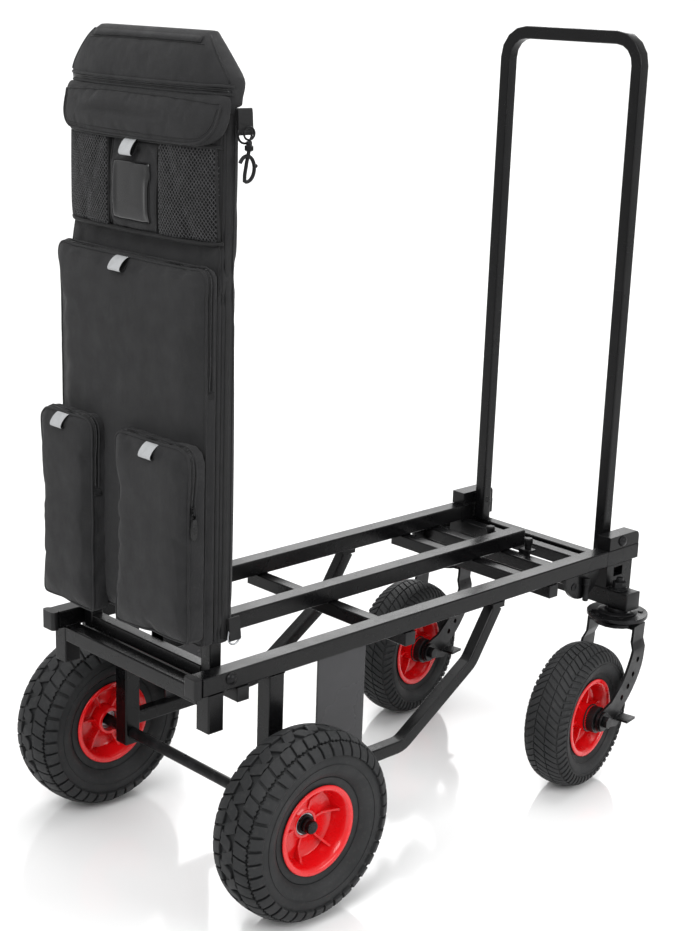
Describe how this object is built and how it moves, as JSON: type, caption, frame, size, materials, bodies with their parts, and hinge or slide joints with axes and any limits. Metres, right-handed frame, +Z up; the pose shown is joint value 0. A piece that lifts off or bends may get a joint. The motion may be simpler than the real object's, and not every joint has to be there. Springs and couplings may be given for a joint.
{
  "type": "folding equipment cart",
  "caption": "Telescoping all-terrain equipment cart with pneumatic wheels, braked swivel casters, a fold-down push handle at each end and a tall organiser bag on the front handle.",
  "frame": {"origin": "on the ground at the centre of the outline", "axes": "+X from the front end with the bag to the rear end with the casters, +Y to the cart's right side, +Z up"},
  "size_m": [0.901, 0.5218, 1.118],
  "materials": {
    "frame": "satin black powder coat",
    "steel": "zinc plated",
    "dark_steel": "black semi-gloss",
    "plastic": "fine texture",
    "tyre": "matt rubber",
    "rim": "gloss red",
    "fabric": "black coated weave"
  },
  "bodies": {
    "frame": {"side_rail_left": "frame", "side_rail_right": "frame", "corner_cap_left": "plastic", "corner_cap_right": "plastic", "corner_post_left": "frame", "corner_post_right": "frame", "side_post_left": "frame", "side_post_right": "frame", "side_brace_left": "frame", "side_brace_right": "frame", "side_plate_left": "frame", "side_plate_right": "frame", "front_pivot_bolt_left": "dark_steel", "front_pivot_bolt_right": "dark_steel", "centre_rail": "frame", "front_bar": "frame", "cross_tube_front": "frame", "cross_tube_middle": "frame", "cross_tube_back": "frame", "cross_tube_lock": "frame", "axle_shaft": "dark_steel"},
    "rear_frame": {"slide_rail_left": "frame", "slide_rail_right": "frame", "handle_block_left": "frame", "handle_block_right": "frame", "swivel_plate_left": "dark_steel", "swivel_plate_right": "dark_steel", "rear_pivot_bolt_left": "dark_steel", "rear_pivot_bolt_right": "dark_steel", "cross_tube_slide_front": "frame", "cross_tube_slide_back": "frame", "caster_beam": "frame"},
    "bag_handle": {"front_handle": "frame", "front_handle_tie": "frame", "bag_body": "fabric", "mesh_panel": "fabric", "big_pocket": "fabric", "lower_pocket_left": "fabric", "lower_pocket_right": "fabric"},
    "push_handle": {"rear_handle": "frame"},
    "drive_wheel_left": {"drive_tyre_left": "tyre", "drive_rim_left": "rim", "drive_bearing_left": "steel"},
    "drive_wheel_right": {"drive_tyre_right": "tyre", "drive_rim_right": "rim", "drive_bearing_right": "steel"},
    "fork_left": {"caster_fork_left": "dark_steel", "caster_axle_left": "steel"},
    "fork_right": {"caster_fork_right": "dark_steel", "caster_axle_right": "steel"},
    "caster_wheel_left": {"caster_tyre_left": "tyre", "caster_rim_left": "rim"},
    "caster_wheel_right": {"caster_tyre_right": "tyre", "caster_rim_right": "rim"},
    "pedal_left": {"brake_pedal_left": "dark_steel"},
    "pedal_right": {"brake_pedal_right": "dark_steel"},
    "flap": {"bag_flap": "fabric"},
    "hook": {"snap_hook": "dark_steel"},
    "pull_left": {"zip_pull_left": "dark_steel"},
    "pull_right": {"zip_pull_right": "dark_steel"}
  },
  "joints": [
    {"name": "frame_extend", "type": "slide", "parent": "frame", "child": "rear_frame", "axis": [1, 0, 0], "range_m": [0, 0.4]},
    {"name": "bag_handle_fold", "type": "hinge", "parent": "frame", "child": "bag_handle", "pos_m": [-0.3875, 0, 0.334], "axis": [0, 1, 0], "range_deg": [0, 50]},
    {"name": "push_handle_fold", "type": "hinge", "parent": "rear_frame", "child": "push_handle", "pos_m": [0.4085, 0, 0.355], "axis": [0, -1, 0], "range_deg": [0, 90]},
    {"name": "drive_left_roll", "type": "hinge", "parent": "frame", "child": "drive_wheel_left", "pos_m": [-0.3095, -0.22, 0.13], "axis": [0, 1, 0], "continuous": true},
    {"name": "drive_right_roll", "type": "hinge", "parent": "frame", "child": "drive_wheel_right", "pos_m": [-0.3095, 0.22, 0.13], "axis": [0, 1, 0], "continuous": true},
    {"name": "caster_left_swivel", "type": "hinge", "parent": "rear_frame", "child": "fork_left", "pos_m": [0.3875, -0.182, 0.2429], "axis": [0, 0, 1], "continuous": true},
    {"name": "caster_right_swivel", "type": "hinge", "parent": "rear_frame", "child": "fork_right", "pos_m": [0.3875, 0.182, 0.2429], "axis": [0, 0, 1], "continuous": true},
    {"name": "caster_left_roll", "type": "hinge", "parent": "fork_left", "child": "caster_wheel_left", "pos_m": [0.27901, -0.20016, 0.1115], "axis": [-0.165, 0.9863, 0], "continuous": true},
    {"name": "caster_right_roll", "type": "hinge", "parent": "fork_right", "child": "caster_wheel_right", "pos_m": [0.27901, 0.16384, 0.1115], "axis": [-0.165, 0.9863, 0], "continuous": true},
    {"name": "brake_left_press", "type": "hinge", "parent": "fork_left", "child": "pedal_left", "pos_m": [0.27901, -0.20016, 0.1115], "axis": [-0.165, 0.9863, 0], "range_deg": [0, 25]},
    {"name": "brake_right_press", "type": "hinge", "parent": "fork_right", "child": "pedal_right", "pos_m": [0.27901, 0.16384, 0.1115], "axis": [-0.165, 0.9863, 0], "range_deg": [0, 25]},
    {"name": "flap_lift", "type": "hinge", "parent": "bag_handle", "child": "flap", "pos_m": [-0.4045, 0, 1.049], "axis": [0, 1, 0], "range_deg": [0, 85]},
    {"name": "hook_swing", "type": "hinge", "parent": "bag_handle", "child": "hook", "pos_m": [-0.3705, -0.163, 1.008], "axis": [0, 1, 0], "range_deg": [-60, 60]},
    {"name": "zip_left_slide", "type": "slide", "parent": "bag_handle", "child": "pull_left", "axis": [0, 0, 1], "range_m": [-0.06, 0.04]},
    {"name": "zip_right_slide", "type": "slide", "parent": "bag_handle", "child": "pull_right", "axis": [0, 0, 1], "range_m": [-0.06, 0.04]}
  ]
}
